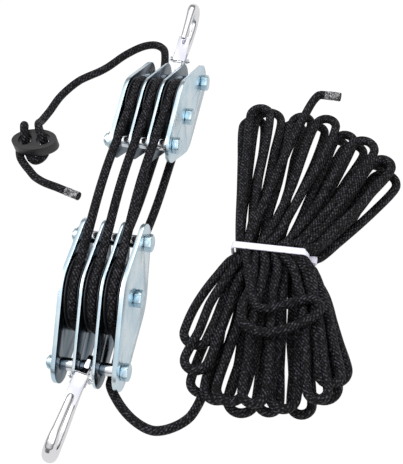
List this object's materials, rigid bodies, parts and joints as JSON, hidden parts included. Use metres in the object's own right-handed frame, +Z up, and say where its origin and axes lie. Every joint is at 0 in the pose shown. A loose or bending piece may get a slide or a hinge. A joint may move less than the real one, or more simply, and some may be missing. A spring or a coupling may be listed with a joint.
{
  "type": "block and tackle",
  "caption": "Rope hoist laid out flat: sheave blocks with latched hooks, one rope reeved through both, its tail in a stop ring and the spare rope tied up as a hank.",
  "frame": {"origin": "middle of the blocks' footprint on the floor", "axes": "+Y from the lower block to the upper block, +X towards the bolts' heads and the hank, +Z up"},
  "size_m": [0.4808, 0.6136, 0.088],
  "materials": {
    "zinc_plate": "zinc plated, satin, faintly blue",
    "zinc_bolt": "zinc plated, satin",
    "bright_tube": "bright zinc",
    "cast_sheave": "turned, dark",
    "polished_hook": "polished",
    "latch_sheet": "pressed sheet, bright zinc",
    "spring_wire": "bright wire",
    "black_rope": "braided, matte",
    "ring_plastic": "satin, dark grey",
    "tie_nylon": "natural nylon",
    "clear_tape": "clear tape"
  },
  "bodies": {
    "lower_block": {"lower_outer_plate_left": "zinc_plate", "lower_inner_plate_left": "zinc_plate", "lower_inner_plate_right": "zinc_plate", "lower_outer_plate_right": "zinc_plate", "lower_rope_spacer_left": "bright_tube", "lower_hook_spacer_left": "bright_tube", "lower_rope_spacer_middle": "bright_tube", "lower_hook_spacer_middle": "bright_tube", "lower_rope_spacer_right": "bright_tube", "lower_hook_spacer_right": "bright_tube", "lower_axle_sleeve": "bright_tube", "lower_rope_bolt": "zinc_bolt", "lower_rope_nut": "zinc_bolt", "lower_axle_bolt": "zinc_bolt", "lower_axle_nut": "zinc_bolt", "lower_hook_bolt": "zinc_bolt", "lower_hook_nut": "zinc_bolt", "reeved_rope": "black_rope", "hauling_rope": "black_rope", "rope_hank": "black_rope", "cable_tie": "tie_nylon", "hank_tape": "clear_tape"},
    "upper_block": {"upper_outer_plate_left": "zinc_plate", "upper_inner_plate_left": "zinc_plate", "upper_inner_plate_right": "zinc_plate", "upper_outer_plate_right": "zinc_plate", "upper_rope_spacer_left": "bright_tube", "upper_hook_spacer_left": "bright_tube", "upper_rope_spacer_middle": "bright_tube", "upper_hook_spacer_middle": "bright_tube", "upper_rope_spacer_right": "bright_tube", "upper_hook_spacer_right": "bright_tube", "upper_axle_sleeve": "bright_tube", "upper_rope_bolt": "zinc_bolt", "upper_rope_nut": "zinc_bolt", "upper_axle_bolt": "zinc_bolt", "upper_axle_nut": "zinc_bolt", "upper_hook_bolt": "zinc_bolt", "upper_hook_nut": "zinc_bolt", "tail_rope": "black_rope", "stop_ring": "ring_plastic", "tail_tape": "clear_tape"},
    "lower_sheave_left_body": {"lower_sheave_left": "cast_sheave"},
    "lower_sheave_middle_body": {"lower_sheave_middle": "cast_sheave"},
    "lower_sheave_right_body": {"lower_sheave_right": "cast_sheave"},
    "lower_hook_body": {"lower_hook": "polished_hook", "lower_latch_pin": "bright_tube", "lower_latch_spring": "spring_wire"},
    "lower_latch_body": {"lower_latch": "latch_sheet"},
    "upper_sheave_left_body": {"upper_sheave_left": "cast_sheave"},
    "upper_sheave_middle_body": {"upper_sheave_middle": "cast_sheave"},
    "upper_sheave_right_body": {"upper_sheave_right": "cast_sheave"},
    "upper_hook_body": {"upper_hook": "polished_hook", "upper_latch_pin": "bright_tube", "upper_latch_spring": "spring_wire"},
    "upper_latch_body": {"upper_latch": "latch_sheet"}
  },
  "joints": [
    {"name": "travel", "type": "slide", "parent": "lower_block", "child": "upper_block", "axis": [0, 1, 0], "range_m": [-0.085, 0.03], "deforming": ["reeved_rope"]},
    {"name": "lower_sheave_left_spin", "type": "hinge", "parent": "lower_block", "child": "lower_sheave_left_body", "pos_m": [-0.0194, -0.1243, 0.044], "axis": [1, 0, 0], "range_deg": [-45, 127]},
    {"name": "lower_sheave_middle_spin", "type": "hinge", "parent": "lower_block", "child": "lower_sheave_middle_body", "pos_m": [0.002, -0.1243, 0.044], "axis": [1, 0, 0], "range_deg": [-135, 379]},
    {"name": "lower_sheave_right_spin", "type": "hinge", "parent": "lower_block", "child": "lower_sheave_right_body", "pos_m": [0.0234, -0.1243, 0.044], "axis": [1, 0, 0], "range_deg": [-223, 631]},
    {"name": "upper_sheave_left_spin", "type": "hinge", "parent": "upper_block", "child": "upper_sheave_left_body", "pos_m": [-0.0194, 0.1257, 0.044], "axis": [1, 0, 0], "continuous": true},
    {"name": "upper_sheave_middle_spin", "type": "hinge", "parent": "upper_block", "child": "upper_sheave_middle_body", "pos_m": [0.002, 0.1257, 0.044], "axis": [1, 0, 0], "range_deg": [-90, 253]},
    {"name": "upper_sheave_right_spin", "type": "hinge", "parent": "upper_block", "child": "upper_sheave_right_body", "pos_m": [0.0234, 0.1257, 0.044], "axis": [1, 0, 0], "range_deg": [-179, 505]},
    {"name": "lower_hook_swing", "type": "hinge", "parent": "lower_block", "child": "lower_hook_body", "pos_m": [0.0005, -0.19883, 0.021], "axis": [1, 0, 0], "range_deg": [-25, 60]},
    {"name": "upper_hook_swing", "type": "hinge", "parent": "upper_block", "child": "upper_hook_body", "pos_m": [0.0042, 0.20023, 0.021], "axis": [-1, 0, 0], "range_deg": [-23, 45]},
    {"name": "lower_latch_hinge", "type": "hinge", "parent": "lower_hook_body", "child": "lower_latch_body", "pos_m": [0.00135, -0.21952, 0.03621], "axis": [0.969, -0.1191, -0.2163], "range_deg": [0, 35], "stiffness_Nm_per_rad": 0.05, "springref_deg": -17.19, "deforming": ["lower_latch_spring"]},
    {"name": "upper_latch_hinge", "type": "hinge", "parent": "upper_hook_body", "child": "upper_latch_body", "pos_m": [0.00707, 0.21824, 0.03908], "axis": [-0.9893, 0.0121, 0.1452], "range_deg": [0, 35], "stiffness_Nm_per_rad": 0.05, "springref_deg": -17.19, "deforming": ["upper_latch_spring"]}
  ],
  "couplings": [
    {"joint": "lower_sheave_left_spin", "follows": "travel", "rad_per_m": -25.907},
    {"joint": "lower_sheave_middle_spin", "follows": "travel", "rad_per_m": -77.72},
    {"joint": "lower_sheave_right_spin", "follows": "travel", "rad_per_m": -129.53},
    {"joint": "upper_sheave_middle_spin", "follows": "travel", "rad_per_m": -51.813},
    {"joint": "upper_sheave_right_spin", "follows": "travel", "rad_per_m": -103.63}
  ]
}
